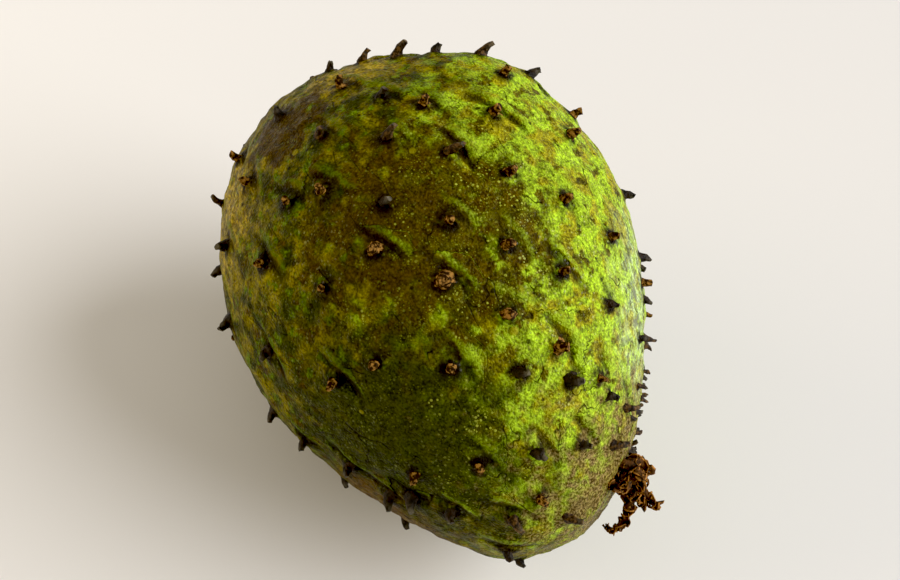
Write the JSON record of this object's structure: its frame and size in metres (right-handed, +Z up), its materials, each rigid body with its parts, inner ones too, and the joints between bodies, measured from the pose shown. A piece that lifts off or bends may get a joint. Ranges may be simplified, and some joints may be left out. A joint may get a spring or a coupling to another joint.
{
  "type": "soursop",
  "caption": "Whole ripe soursop lying on its side: a green egg-shaped fruit with soft dark spines and a withered tuft at its tip.",
  "frame": {"origin": "on the ground, under the middle of the fruit's bounding box", "axes": "+Z up, +X along the fruit from its stem end to its tip, +Y to the side"},
  "size_m": [0.1828, 0.1334, 0.1346],
  "materials": {
    "rind": "leathery green rind, mottled olive and brown, semi-gloss, with blackish spines",
    "dry_tuft": "dry, matt, dark brown with tan edges"
  },
  "bodies": {
    "root": {"fruit": "rind", "withered_tip": "dry_tuft"}
  },
  "joints": []
}
